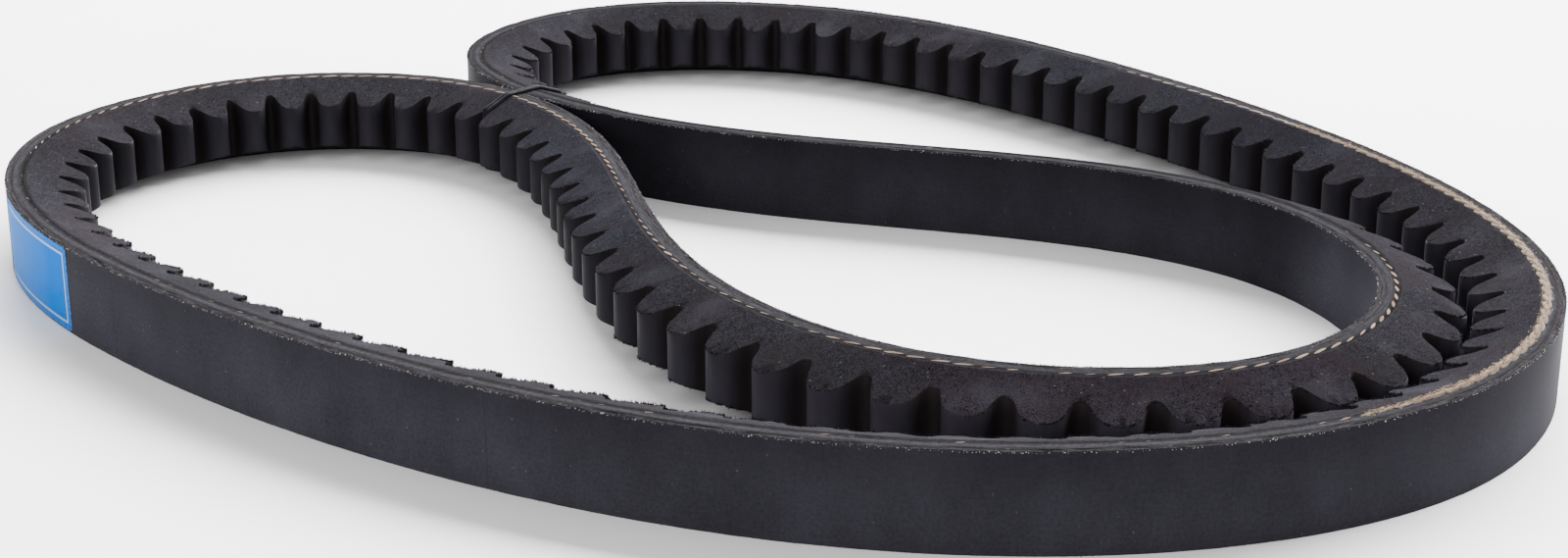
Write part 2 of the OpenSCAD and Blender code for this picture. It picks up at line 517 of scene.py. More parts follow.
    def blend(self, a: Socket, share_a: float, b: Socket, share_b: float) -> Socket:
        """Sum of two numbers, each times its share."""
        return self.plus(self.times(a, share_a), self.times(b, share_b))

    def swing(self, noise: Socket, middle: float, size: float) -> Socket:
        """Noise less its middle, times a size."""
        return self.times(self.math("SUBTRACT", noise, middle), size)

    def bump(self, height: Socket, distance: float, strength: float) -> Socket:
        """Surface normal from a height, with its full travel in metres."""
        inputs = {"Height": height, "Distance": distance, "Strength": strength}
        return self.add("ShaderNodeBump", inputs).outputs["Normal"]

    def finish(
        self, colour: Socket, rough: Value, normal: Socket | None = None, specular: float = 0.0
    ) -> Material:
        """Wires the shader.

        Args:
            colour: the colour.
            rough: the roughness.
            normal: the surface normal, if the surface isn't plain.
            specular: reflection level.

        Returns:
            The finished material.
        """
        inputs = {"Base Color": colour, "Roughness": rough, "Specular IOR Level": specular}
        if normal is not None:
            inputs["Normal"] = normal
        self.wire(self.shader, inputs)
        return self.material


@dataclass(frozen=True)
class GroundFlank:
    """Flank of the fibre-loaded rubber: ground matt, mottled, with pale fibre ends.

    One attribute, painted light, sets the tone along the belt for how the light falls on each
    run, and "cool" says where it turns bluish. The runs painted palest and darkest take a
    tint of their own.
    """

    dark: Colour = (0.0030, 0.0027, 0.0034)
    light: Colour = (0.0272, 0.0256, 0.0304)
    warm: Colour = (0.0160, 0.0132, 0.0146)
    fibre: Colour = (0.085, 0.080, 0.080)
    wiped: Colour = (0.0290, 0.0295, 0.0350)
    pale_tint: Colour = (0.97, 1.03, 1.00)
    dark_tint: Colour = (1.07, 0.97, 1.02)
    cool_tint: Colour = (0.97, 1.02, 1.07)

    def build(self) -> Material:
        """Makes the material.

        A fine and a coarse grain blend from the dark tone to the light one. Warm clouds, pale
        specks and wiped patches lie over them, and painted light along the belt multiplies the
        whole.

        Returns:
            The material.
        """
        n = Nodes("ground_flank")
        cloud = n.noise(n.position(95), 4)
        grain = n.noise(n.position(3900), 2)
        coarse = n.noise(n.position(900))
        tone = n.blend(grain, 0.80, coarse, 0.20)
        base = n.ramp(tone, (0.355, self.dark), (0.645, self.light))
        base = n.lay(base, self.warm, n.spread(cloud, 0.42, 0.66), 0.55)
        base = n.lay(base, self.fibre, n.specks(n.position(1050), (0.24, 0.12), (0.88, 0.94)), 0.6)
        base = n.mix(n.spread(n.noise(n.position(85), 5), 0.54, 0.70, 0.0, 0.32), base, self.wiped)
        # painted light: the flank's tone run by run, for how the light falls on it
        painted_run_light = n.value("painted_run_light")
        smear = n.spread(n.noise(n.position(42), 5, 0.65), 0.30, 0.70, 0.80, 1.20)
        base = n.tint(base, n.times(painted_run_light, smear))
        base = n.tint(base, self.pale_tint, n.spread(painted_run_light, 0.92, 0.99))
        base = n.tint(base, self.dark_tint, n.spread(painted_run_light, 0.71, 0.70))
        base = n.tint(base, self.cool_tint, n.value("cool"))
        normal = n.bump(n.plus(grain, n.times(coarse, 0.8)), 0.018 * MM, 0.8)
        return n.finish(base, n.spread(tone, 0.3, 0.7, 0.95, 0.78), normal)


@dataclass(frozen=True)
class MouldedCog:
    """Moulded face of the cogs: smooth and bluish, darker in the valleys as painted shade, and
    warmer there.

    The attributes "cog_height" and "cog_shoulder" say where on a cog the face is, for the
    painted shade in the valleys and the painted highlight on the shoulders. Two more set
    its tone along the belt as painted light.
    """

    tip: Colour = (0.0110, 0.0098, 0.0130)
    valley: Colour = (0.0070, 0.0055, 0.0063)
    edge: Colour = (0.0116, 0.0107, 0.0138)
    dust: Colour = (0.020, 0.018, 0.0175)

    def build(self) -> Material:
        """Makes the material.

        The height on a cog, streaked across the face, blends from the valley's painted shade to
        the tip's tone. A painted highlight on the shoulder and some dust lie over it, and the
        painted light along the belt multiplies it.

        Returns:
            The material.
        """
        n = Nodes("moulded_cog")
        streak = n.noise(n.position(900, 900, 28))
        fine = n.noise(n.position(1800, 1800, 260), 2)
        level = n.plus(n.value("cog_height"), n.swing(streak, 0.5, 0.7))
        # painted shade: the face darkens down into the valleys
        base = n.ramp(level, (0.30, self.valley), (0.95, self.tip))
        # painted highlight along the cogs' shoulders
        base = n.lay(base, self.edge, n.value("cog_shoulder"), 0.5)
        dust = n.spread(n.noise(n.position(300, 300, 120), 4, 0.7), 0.56, 0.78)
        base = n.lay(base, self.dust, dust, 0.22)
        # painted light along the belt, with the painted bounce light low on the faces
        base = n.tint(base, n.times(n.value("painted_run_light"), n.value("painted_face_light")))
        normal = n.bump(n.plus(streak, fine), 0.05 * MM, 0.6)
        return n.finish(base, n.spread(fine, 0.2, 0.8, 0.45, 0.65), normal, 0.03)


@dataclass(frozen=True)
class BackCloth:
    """Back of the belt: rubber wiped into a close-woven cloth, smooth and satin.

    One attribute sets the tone along the belt as painted light for how the light falls on
    each run, and "rise", the height, makes it lighter towards the bottom as painted bounce
    light off the floor.
    """

    dark: Colour = (0.0086, 0.0082, 0.0106)
    light: Colour = (0.0166, 0.0160, 0.0203)
    scuffed: Colour = (0.030, 0.030, 0.033)
    dust: Colour = (0.060, 0.059, 0.060)
    seam: Colour = (0.004, 0.004, 0.005)
    seams: tuple[float, ...] = (48.2 * MM, 137.3 * MM, 702.0 * MM)
    seam_width: float = 0.26 * MM

    def build(self) -> Material:
        """Makes the material.

        Threads along and across with a grain make the weave, and soft clouds shift its tone.
        Scuffs, specks and three faint seams lie over it, and two painted lights multiply it: one
        by its height, lighter towards the bottom, and one run by run.

        Returns:
            The material.
        """
        n = Nodes("back_cloth")
        threads = n.plus(n.noise(n.along(2600, 260), 2, 0.5), n.noise(n.along(260, 2600), 2, 0.5))
        cloud = n.noise(n.along(60, 40), 4)
        weave = n.blend(threads, 0.14, n.noise(n.along(1700, 1700), 4, 0.75), 0.72)
        base = n.ramp(n.blend(weave, 0.6, cloud, 0.4), (0.38, self.dark), (0.62, self.light))
        scuff = n.spread(n.noise(n.along(300, 45), 5, 0.75), 0.66, 0.80)
        base = n.lay(base, self.scuffed, scuff, 0.35)
        base = n.lay(base, self.dust, n.specks(n.along(900, 900), (0.20, 0.08), (0.90, 0.97)), 0.45)
        run = n.add("ShaderNodeSeparateXYZ", {"Vector": n.along(1, 1)}).outputs[0]
        for seam in self.seams:
            away = n.math("ABSOLUTE", n.math("SUBTRACT", run, seam))
            base = n.mix(n.spread(away, 0.0, self.seam_width, 0.28, 0.0), base, self.seam)
        # painted bounce light off the floor: twice as light at the bottom, fading out upwards
        base = n.tint(base, n.spread(n.value("rise"), 0.0, 0.9, 2.0, 1.0))
        # painted light: the back's tone run by run
        base = n.tint(base, n.value("rub_and_painted_light"))
        rough = n.spread(cloud, 0.3, 0.7, 0.50, 0.62)
        return n.finish(base, rough, n.bump(weave, 0.04 * MM, 0.5), 0.01)


@dataclass(frozen=True)
class CutPly:
    """Cut edge and body of a cloth ply: brownish, with fibres that run along the belt."""

    name: str = "cut_ply"
    dark: Colour = (0.0098, 0.0092, 0.0104)
    light: Colour = (0.0290, 0.0281, 0.0315)
    pale: Colour = (0.110, 0.106, 0.105)

    def build(self) -> Material:
        """Makes the material.

        Long fibres and short tufts blend from the dark tone to the light one, with pale
        flecks between them, and a tone set along the belt multiplies the whole.

        Returns:
            The material.
        """
        n = Nodes(self.name)
        run = n.noise(n.along(330, 3200), 4, 0.7)
        tuft = n.noise(n.along(1500, 1500), 3, 0.7)
        base = n.ramp(n.blend(run, 0.5, tuft, 0.5), (0.36, self.dark), (0.64, self.light))
        fleck = n.spread(n.noise(n.along(900, 2400), 2, 0.5), 0.66, 0.74)
        base = n.lay(base, self.pale, fleck, 0.6)
        base = n.tint(base, n.value("run_tone"))
        return n.finish(base, 0.9, n.bump(n.plus(run, tuft), 0.04 * MM, 0.9))


@dataclass(frozen=True)
class PlainRubber:
    """Smooth rubber over and under the cord: streaked along the belt, its tone set by depth.

    Its three colours follow each other from the start depth to the end depth, in millimetres
    under the back.
    """

    name: str
    start: float
    end: float
    outer: Colour
    middle: Colour
    inner: Colour
    rough: float = 0.6

    def build(self) -> Material:
        """Makes the material.

        The depth, wandering along the belt, runs through the three colours. Streaks along the
        belt and a grain multiply them, and so does a tone set along the belt.

        Returns:
            The material.
        """
        n = Nodes(self.name)
        run = n.noise(n.along(160, 2600), 4, 0.7)
        grain = n.noise(n.position(1700), 3, 0.7)
        tone = n.blend(run, 0.5, grain, 0.5)
        wander = n.swing(n.noise(n.along(55, 0)), 0.5, 0.9)
        place = n.spread(n.plus(n.value("depth"), wander), self.start, self.end)
        base = n.ramp(place, (0.0, self.outer), (0.5, self.middle), (1.0, self.inner))
        base = n.tint(base, n.ramp(tone, (0.34, (0.45,) * 3), (0.66, (1.55,) * 3)))
        base = n.tint(base, n.value("run_tone"))
        rough = n.spread(grain, 0.3, 0.7, self.rough, self.rough + 0.2)
        return n.finish(base, rough, n.bump(tone, 0.02 * MM, 0.6))


@dataclass(frozen=True)
class TwistedCord:
    """Polyester cord: cream filaments with a tan dip, and painted shade between the filaments."""

    cream: Colour = (0.250, 0.190, 0.142)
    tan: Colour = (0.165, 0.104, 0.070)
    clean: Colour = (0.330, 0.275, 0.228)
    # painted shade between the filaments
    filament_shade: Colour = (0.030, 0.0200, 0.0150)

    def build(self) -> Material:
        """Makes the material.

        Patches along the cord blend from tan to cream, clean stretches are paler, and painted
        shade lies between the filaments.

        Returns:
            The material.
        """
        n = Nodes("twisted_cord")
        hair = n.noise(n.along(450, 9000))
        base = n.ramp(n.noise(n.along(170, 30)), (0.38, self.tan), (0.60, self.cream))
        base = n.lay(base, self.clean, n.value("clean"), 0.6)
        # painted shade between the filaments, where the bump sinks
        base = n.lay(base, self.filament_shade, n.spread(hair, 0.62, 0.4), 0.45)
        return n.finish(base, 0.85, n.bump(hair, 0.08 * MM, 0.8))


@dataclass(frozen=True)
class FibreEnds:
    """Loose fibre ends: most of them dark with rubber, and a share of them bare and pale."""

    name: str
    dark: Colour
    pale: Colour
    share: float

    def build(self) -> Material:
        """Makes the material.

        A fibre's own random number says whether it takes the dark colour or the pale one.

        Returns:
            The material.
        """
        n = Nodes(self.name)
        bare = n.spread(n.value("bareness"), 1 - self.share, 1 - self.share + 0.12)
        return n.finish(n.mix(bare, self.dark, self.pale), 0.9)


@dataclass(frozen=True)
class LabelFilm:
    """Plain blue film: satin and rubbed towards its edges, with painted sheen lightening it towards
    the end where it starts.

    One attribute says how much painted sheen lies on it, "border" how near its edge it is,
    and "inset" how many millimetres inside its edge, where a plain pale line runs.
    """

    blue: Colour = (0.002, 0.100, 0.40)
    # the paler, greyer blue of the painted sheen
    sheen_blue: Colour = (0.078, 0.172, 0.385)
    frame: Colour = (0.30, 0.36, 0.43)
    rubbed: Colour = (0.16, 0.20, 0.26)

    def build(self) -> Material:
        """Makes the material.

        The painted sheen, mottled with clouds and flecks, blends from blue to a paler, greyer
        blue. The pale line and the rubbed border lie over it.

        Returns:
            The material.
        """
        n = Nodes("label_film")
        cloud = n.noise(n.along(45, 60), 4)
        fleck = n.noise(n.along(1400, 1400), 3, 0.7)
        # painted sheen, mottled with clouds and flecks
        painted_sheen = n.plus(n.value("painted_sheen"), n.swing(n.plus(cloud, fleck), 1.0, 0.35))
        base = n.ramp(painted_sheen, (0.0, self.blue), (1.0, self.sheen_blue))
        inset = n.value("inset")
        line = n.times(n.spread(inset, 1.15, 1.25), n.spread(inset, 1.70, 1.60))
        base = n.lay(base, self.frame, line, 0.85)
        rub_and_painted_light = n.times(n.value("border"), n.spread(fleck, 0.45, 0.62))
        base = n.lay(base, self.rubbed, rub_and_painted_light, 0.6)
        rough = n.spread(cloud, 0.3, 0.7, 0.34, 0.48)
        return n.finish(base, rough, n.bump(fleck, 0.02 * MM, 0.5))


@dataclass(frozen=True)
class TieCoat:
    """Dark plastic coat of the tie wire, scuffed to grey in streaks along it."""

    dark: Colour = (0.0078, 0.0079, 0.0094)
    worn: Colour = (0.0200, 0.0205, 0.0245)

    def build(self) -> Material:
        """Makes the material.

        Streaks along the wire blend from the dark tone to the worn one.

        Returns:
            The material.
        """
        n = Nodes("tie_coat")
        scuff = n.noise(n.along(300, 2500), 4, 0.7)
        base = n.ramp(scuff, (0.42, self.dark), (0.66, self.worn))
        rough = n.spread(scuff, 0.3, 0.7, 0.5, 0.65)
        return n.finish(base, rough, n.bump(scuff, 0.03 * MM, 0.5), 0.01)


@dataclass(frozen=True)
class PaleFloor:
    """Floor of the studio: matt and nearly white."""

    dim: Colour = (0.86, 0.86, 0.87)
    bright: Colour = (0.88, 0.88, 0.88)

    def build(self) -> Material:
        """Makes the material.

        Soft clouds blend from the dim tone to the bright one.

        Returns:
            The material.
        """
        n = Nodes("pale_floor")
        base = n.ramp(n.noise(n.position(40), 2, 0.5), (0.3, self.dim), (0.7, self.bright))
        return n.finish(base, 0.8, None, 0.2)


# ---- The belt's pieces ---------------------------------------------------------------


@dataclass
class CoggedBody:
    """The compression rubber with its cogs, swept along the route.

    The marks set, by the cog, the tone of the flanks, where they are bluish (cool) and the
    tone of the cog faces over the flanks'. Both tones are painted light for how the light
    falls on each run, and the cog faces are painted lighter low down for the light off the
    floor.
    """

    per_cog: int = 24
    flank_rows: int = 5
    face_rows: int = 5
    crisp: float = 38
    bevel: float = 0.22 * MM
    ragged: float = 0.32 * MM
    edge_grain: float = 1.0
    torn: float = 0.9
    torn_grain: float = 1.3
    proud: tuple[float, ...] = (34.44, 93.60)
    swell: float = 0.32 * MM
    swell_width: float = 0.14
    shoulder: float = 0.80
    shoulder_width: float = 0.16
    # painted bounce light off the floor: the cog faces are made lighter below this share of the
    # width
    painted_bounce_light: float = 1.5
    painted_bounce_top: float = 0.6
    # painted light: the flanks' tone run by run, for how the light falls on them
    painted_run_light: Marks = (
        (0, 0.84), (3, 0.94), (6, 1.02), (14, 1.00), (22, 0.95), (25, 0.91), (28, 0.82),
        (33, 0.77), (38, 0.76), (46, 0.73), (54, 0.81), (62, 0.82), (70, 0.86), (92, 0.84),
        (97, 0.70), (103, 0.70), (108, 0.75), (114, 0.87), (118, 0.87), (124, 0.95), (130, 0.91),
        (133, 0.71), (135, 0.71), (137, 0.84),
    )
    cool: Marks = ((40, 0), (43, 1), (51, 1), (54, 0), (108, 0), (113, 1), (118, 1), (122, 0))
    # painted light: the cog faces' tone run by run, for how the light falls on them
    painted_face_light: Marks = (
        (0, 0.80), (3, 2.60), (33, 2.60), (36, 1.95), (39, 1.65), (42, 1.14), (45, 0.98),
        (54, 0.96), (60, 1.12), (64, 0.88), (68, 1.08), (90, 1.70), (97, 2.80), (100, 3.20),
        (103, 2.60), (106, 1.75), (109, 1.05), (112, 0.80), (115, 0.66), (118, 0.76), (121, 1.02),
        (124, 0.94), (127, 0.78), (130, 0.64), (133, 0.52), (137, 0.70),
    )

    def build(self) -> list[Piece]:
        """Makes the body.

        Each station is a closed ring: up the lower flank from the band to the cog face, up
        the cog face, and back along the upper flank. The face's depth follows the cogs, and
        its two corners are rounded a little and ragged. Two cogs stand a little proud of the
        rest at their tips.

        Returns:
            The piece, with a flank finish and a cog-face finish.
        """
        s, stations = SECTION, ROUTE.cogs * self.per_cog
        cog = np.arange(stations) / self.per_cog
        rise = s.cog_rise(cog, ROUTE.pitch)
        swelling = sum(np.exp(-(((cog - place) / self.swell_width) ** 2)) for place in self.proud)
        tip = s.valley + rise + self.swell * swelling
        edge = self.ragged * smooth_lines(stations, self.edge_grain, 11, 12)
        tears = np.maximum(smooth_lines(stations, self.torn_grain, 13, 14), 0)
        torn = self.torn * self.ragged * tears

        across = np.linspace(0, 1, self.flank_rows)
        flank_depth = s.band + (tip - s.band - self.bevel)[:, None] * across
        flank_height = s.flank_rise(flank_depth)
        low, high = (flank_height + (across == 1.0) * torn[:, [side]] for side in (0, 1))
        corner = s.flank_rise(tip) + self.bevel
        bottom = corner + np.abs(edge[:, 0]) + torn[:, 0]
        top = s.width - corner - np.abs(edge[:, 1]) - torn[:, 1]
        face_height = bottom[:, None] + (top - bottom)[:, None] * np.linspace(0, 1, self.face_rows)
        face_depth = np.repeat(tip[:, None], self.face_rows, 1)

        depth = np.concatenate([flank_depth, face_depth, flank_depth[:, ::-1]], 1)
        height = np.concatenate([low, face_height, s.width - high[:, ::-1]], 1)
        steps = np.cumsum(np.hypot(np.diff(depth), np.diff(height)), 1)
        around = np.concatenate([np.zeros((stations, 1)), steps], 1)
        points, faces, uv = sweep(cog, depth, height, around)
        ring = depth.shape[1]
        relative = rise / s.cog_height
        along = {
            "cog_height": relative,
            "cog_shoulder": np.exp(-(((relative - self.shoulder) / self.shoulder_width) ** 2)),
            "painted_run_light": by_cog(cog, self.painted_run_light),
            "cool": by_cog(cog, self.cool),
        }
        values = {name: np.repeat(value, ring) for name, value in along.items()}
        # painted bounce light: the lower part of the cog faces lightened, for the light off the
        # floor
        painted_bounce = 1 + self.painted_bounce_light * np.maximum(self.painted_bounce_top - height / s.width, 0)
        values["painted_face_light"] = by_cog(cog, self.painted_face_light)[:, None] * painted_bounce

        piece = build_mesh("cogged_body", points, faces, uv, True, values)
        column = np.tile(np.arange(ring), stations)
        on_face = (column >= self.flank_rows - 1) & (column < self.flank_rows + self.face_rows)
        dress(piece, GroundFlank().build(), MouldedCog().build(), second=on_face, crisp=self.crisp)
        return [seat(piece, "compression_rubber", "compression_rubber")]


@dataclass
class Layer:
    """One parallel-sided layer of the band along the back.

    Its depths, and how far its edges stand proud and waver, are in metres. The marks set the
    tone of its cut edges and, as painted light for how the light falls on each run, the tone
    of the back, by the cog.
    """

    name: str
    node: str
    slot: str
    start: float
    end: float
    proud: float
    rough: float
    seed: int
    per_cog: int = 12
    rows: int = 4
    grain: float = 2.2
    corner_share: float = 0.6
    crisp: float = 30
    run_tone: Marks = (
        (0, 1.15), (3, 1.12), (6, 1.12), (12, 1.06), (15, 0.90), (22, 0.94), (28, 1.18),
        (33, 1.24), (38, 1.00), (43, 0.80), (60, 0.78), (66, 0.86), (90, 0.84), (95, 1.00),
        (97, 1.30), (104, 1.18), (116, 1.06), (137, 1.12),
    )
    # painted light: the back's tone run by run, for how the light falls on it
    rub_and_painted_light: Marks = (
        (0, 1.36), (3, 1.40), (6, 1.20), (9, 1.26), (13, 1.09), (16, 0.92), (20, 0.86),
        (24, 0.85), (27, 0.78), (30, 0.86), (33, 0.88), (40, 0.80), (60, 0.80), (72, 0.68),
        (85, 0.66), (87, 0.66), (89, 0.67), (90.5, 1.30), (93, 1.36), (96, 1.00), (137, 1.05),
    )

    def build(self, edge: Material, back: Material | None = None) -> Piece:
        """Makes the layer.

        Each station is a closed ring: along the lower edge from the back inwards, up the
        inner side, back along the upper edge and down the outer side. The two edges lie a
        little proud of the flank or under it, and their height wavers.

        Args:
            edge: finish of the cut edges and the inner side.
            back: finish of the outer side, if it shows.

        Returns:
            The piece.
        """
        s, stations = SECTION, ROUTE.cogs * self.per_cog
        cog = np.arange(stations) / self.per_cog
        across = np.linspace(0, 1, self.rows)
        depths = self.start + (self.end - self.start) * across
        first = self.seed * 10
        waver = smooth_lines(stations, self.grain, *range(first, first + self.rows))
        inside = (across > 0) & (across < 1)
        lift = (self.proud + self.rough * waver) * np.where(inside, 1.0, self.corner_share)
        depth = np.tile(np.concatenate([depths, depths[::-1]]), (stations, 1))
        height = np.concatenate([np.maximum(-lift, 0.0), s.width + lift[:, ::-1]], 1)
        around = np.concatenate([depths, s.width + depths[::-1]])
        points, faces, uv = sweep(cog, depth, height, around)
        ring = depth.shape[1]
        outer = np.tile(np.arange(ring), stations) == ring - 1
        uv[outer, :, 1] = np.where(uv[outer, :, 1] > s.width / 2, s.width, 0.0)
        values = {
            "depth": depth / MM,
            "rise": height / s.width,
            "run_tone": np.repeat(by_cog(cog, self.run_tone), ring),
            "rub_and_painted_light": np.repeat(by_cog(cog, self.rub_and_painted_light), ring),
        }
        piece = build_mesh(self.name, points, faces, uv, True, values)
        if back is None:
            dress(piece, edge, crisp=self.crisp)
        else:
            dress(piece, edge, back, second=outer, crisp=self.crisp)
        return seat(piece, self.slot, self.node)


class Flank(Enum):
    """Which flank of the belt a piece lies on."""

    LOWER = 0
    UPPER = 1


@dataclass
class EdgeCord:
    """The outermost cord turn: three strands twisted together, bared here and there.

    The marks give how far it is bared (bare, in millimetres) and where it is clean, by the
    cog.
    """

    name: str
    node: str
    flank: Flank
    strand_radius: float = 0.40 * MM
    twist_radius: float = 0.36 * MM
    lead: float = 11.7 * MM
    depth: float = 3.1 * MM
    step: float = 0.55 * MM
    sides: int = 8
    strands: int = 3
    wander: float = 0.05 * MM
    wander_grain: float = 9
    uneven: float = 0.08
    uneven_grain: float = 3
    crush: float = 0.5
    crush_from: float = 0.2
    clean: Marks = ((31, 0.0), (35, 1.0), (48, 1.0), (50, 0.0))
    bare: Marks = (
        (0, 0.00), (26, 0.00), (27, 0.16), (28, 0.38), (30, 0.52), (35.5, 0.54), (39, 0.48),
        (41, 0.38), (44, 0.25), (46, 0.15), (48, 0.12), (49.5, 0.02), (51, 0.00), (90, 0.00),
        (91.5, 0.05), (93, 0.11), (98, 0.13), (100, 0.10), (101.5, 0.02), (103, 0.12),
        (104.5, 0.12), (106, 0.03), (107.5, 0.06), (109, 0.06), (110, 0.11), (111, 0.10),
        (112.5, 0.02), (113.5, 0.04), (115, 0.10), (117, 0.14), (120, 0.15), (124, 0.14),
        (130, 0.14), (131.5, 0.09), (133, 0.06), (134.5, 0.01), (137, 0.00),
    )

    def lift(self, cog: np.ndarray) -> np.ndarray:
        """How far the strands' crests stand over the flank, in metres, along the belt."""
        return by_cog(np.mod(cog, ROUTE.cogs), self.bare) * MM

    def build(self, finish: Material) -> Piece:
        """Makes the three strands.

        A strand's centre circles the cord's own line once per lead, a third of a turn after
        the strand before, and a ring of points is set round it. The cord's line lies under
        the flank so deep that the crests stand over it by the bared height. Where it is bared
        most it is crushed wide: every offset in depth grows with the bared height.

        Args:
            finish: the cord's finish.

        Returns:
            The piece.
        """
        turns = round(ROUTE.length / self.lead)
        stations = round(ROUTE.length / self.step)
        cog = np.arange(stations) / stations * ROUTE.cogs
        upper = self.flank is Flank.UPPER
        centre = self.lift(cog) - self.strand_radius - self.twist_radius
        crush = 1 + self.crush * np.maximum(self.lift(cog) / MM - self.crush_from, 0)
        wander = self.wander * smooth_noise(stations, self.wander_grain, 5 + self.flank.value)
        angle = np.arange(self.sides) * 2 * math.pi / self.sides
        points, faces, uvs = [], [], []
        for strand in range(self.strands):
            spin = 2 * math.pi * (turns * cog / ROUTE.cogs + strand / self.strands)
            uneven = self.uneven * smooth_noise(stations, self.uneven_grain, 30 + strand)
            thick = self.strand_radius * (1 + uneven)
            middle = self.depth + wander + self.twist_radius * crush * np.sin(spin)
            up = centre + self.twist_radius * np.cos(spin)
            depth = middle[:, None] + (thick * crush)[:, None] * np.sin(angle)
            over = up[:, None] + thick[:, None] * np.cos(angle)
            height = SECTION.width + over if upper else np.maximum(-over, 0.0)
            ring = sweep(cog, depth, height, angle * self.strand_radius, not upper)
            points.append(ring[0])
            faces.append(ring[1] + strand * len(ring[0]))
            uvs.append(ring[2])
        clean = np.tile(np.repeat(by_cog(cog, self.clean), self.sides), self.strands)
        arrays = (np.concatenate(part) for part in (points, faces, uvs))
        piece = build_mesh(self.name, *arrays, True, {"clean": clean})
        dress(piece, finish)
        return seat(piece, "cord", self.node)


UPPER_CORD = EdgeCord("edge_cord_upper", "tensile_cord_turn_10", Flank.UPPER)
LOWER_CORD = EdgeCord("edge_cord_lower", "tensile_cord_turn_01", Flank.LOWER)


@dataclass
class Band:
    """The layers along the back, and the cord."""

    inner_ply: CutPly = CutPly(
        "cut_inner_ply", dark=(0.0078, 0.0068, 0.0072), light=(0.0250, 0.0228, 0.0245)
    )
    ridge: PlainRubber = PlainRubber(
        "ridge_rubber", start=1.2, end=2.2, outer=(0.0128, 0.0117, 0.0122),
        middle=(0.0160, 0.0158, 0.0178), inner=(0.0218, 0.0221, 0.0255),
    )
    under: PlainRubber = PlainRubber(
        "cord_rubber", start=2.5, end=4.2, outer=(0.0190, 0.0182, 0.0200),
        middle=(0.0085, 0.0076, 0.0082), inner=(0.0165, 0.0161, 0.0186), rough=0.8,
    )
    gum: PlainRubber = PlainRubber(
        "gum_rubber", start=2.0, end=2.8, outer=(0.0218, 0.0221, 0.0255),
        middle=(0.0235, 0.0238, 0.0274), inner=(0.0220, 0.0217, 0.0245),
    )
    inner_tone: Marks = (
        (0, 1.15), (3, 1.12), (12, 1.06), (15, 0.90), (22, 0.94), (28, 1.18), (33, 1.24),
        (38, 1.25), (42, 1.36), (50, 1.36), (54, 1.02), (90, 1.00), (97, 1.40), (104, 1.25),
        (116, 1.17), (124, 1.32), (131, 1.32), (137, 1.25),
    )
    ridge_tone: Marks = (
        (0, 1.05), (12, 1.04), (20, 1.07), (26, 1.06), (33, 1.14), (40, 1.04), (46, 1.10),
        (54, 0.96), (68, 0.95), (90, 1.20), (97, 1.02), (103, 1.00), (108, 1.18), (116, 1.20),
        (124, 1.12), (131, 1.25), (137, 1.10),
    )
    rubber_tone: Marks = (
        (0, 0.86), (4, 1.03), (12, 1.03), (20, 0.96), (26, 1.06), (33, 1.18), (40, 1.00),
        (60, 0.94), (68, 0.88), (90, 0.82), (97, 0.75), (103, 0.75), (108, 0.92), (116, 0.98),
        (124, 0.94), (131, 0.92), (135, 0.82), (137, 0.86),
    )

    def layers(self) -> list[Piece]:
        """Makes the layers from the back inwards.

        Returns:
            The five layers.
        """
        finishes = (CutPly(), self.inner_ply, self.ridge, self.under, self.gum)
        ply, inner, ridge, under, gum = (finish.build() for finish in finishes)
        outer_ply = Layer(
            "outer_ply", "back_ply_outer", "back_fabric", start=0, end=0.6 * MM,
            proud=0.0, rough=0.12 * MM, seed=2, per_cog=16,
        )
        inner_ply = Layer(
            "inner_ply", "back_ply_inner", "inner_fabric", start=0.6 * MM, end=1.2 * MM,
            proud=-0.02 * MM, rough=0.11 * MM, seed=3, per_cog=16, run_tone=self.inner_tone,
        )
        tension = Layer(
            "tension_layer", "tension_rubber", "tension_rubber", start=1.2 * MM, end=2.0 * MM,
            proud=0.03 * MM, rough=0.06 * MM, seed=4, run_tone=self.ridge_tone,
        )
        above = Layer(
            "gum_above_cord", "adhesion_rubber_above", "adhesion_rubber", start=2.0 * MM,
            end=2.5 * MM, proud=0.0, rough=0.03 * MM, seed=5, run_tone=self.rubber_tone,
        )
        below = Layer(
            "gum_below_cord", "adhesion_rubber_below", "adhesion_rubber", start=2.5 * MM,
            end=4.2 * MM, proud=0.0, rough=0.02 * MM, seed=6, rows=6, run_tone=self.rubber_tone,
        )
        return [
            outer_ply.build(ply, BackCloth().build()), inner_ply.build(inner),
            tension.build(ridge), above.build(gum), below.build(under),
        ]

    def cords(self) -> list[Piece]:
        """Makes the two edge turns and dresses the turns between them.

        Returns:
            The two edge turns.
        """
        finish = TwistedCord().build()
        pieces = [UPPER_CORD.build(finish), LOWER_CORD.build(finish)]
        for turn in range(2, 10):
            node = frame["nodes"][f"tensile_cord_turn_{turn:02d}"]
            node.data.materials.clear()
            node.data.materials.append(finish)
        return pieces

    def build(self) -> list[Piece]:
        """Makes all of the band's pieces."""
        return self.layers() + self.cords()


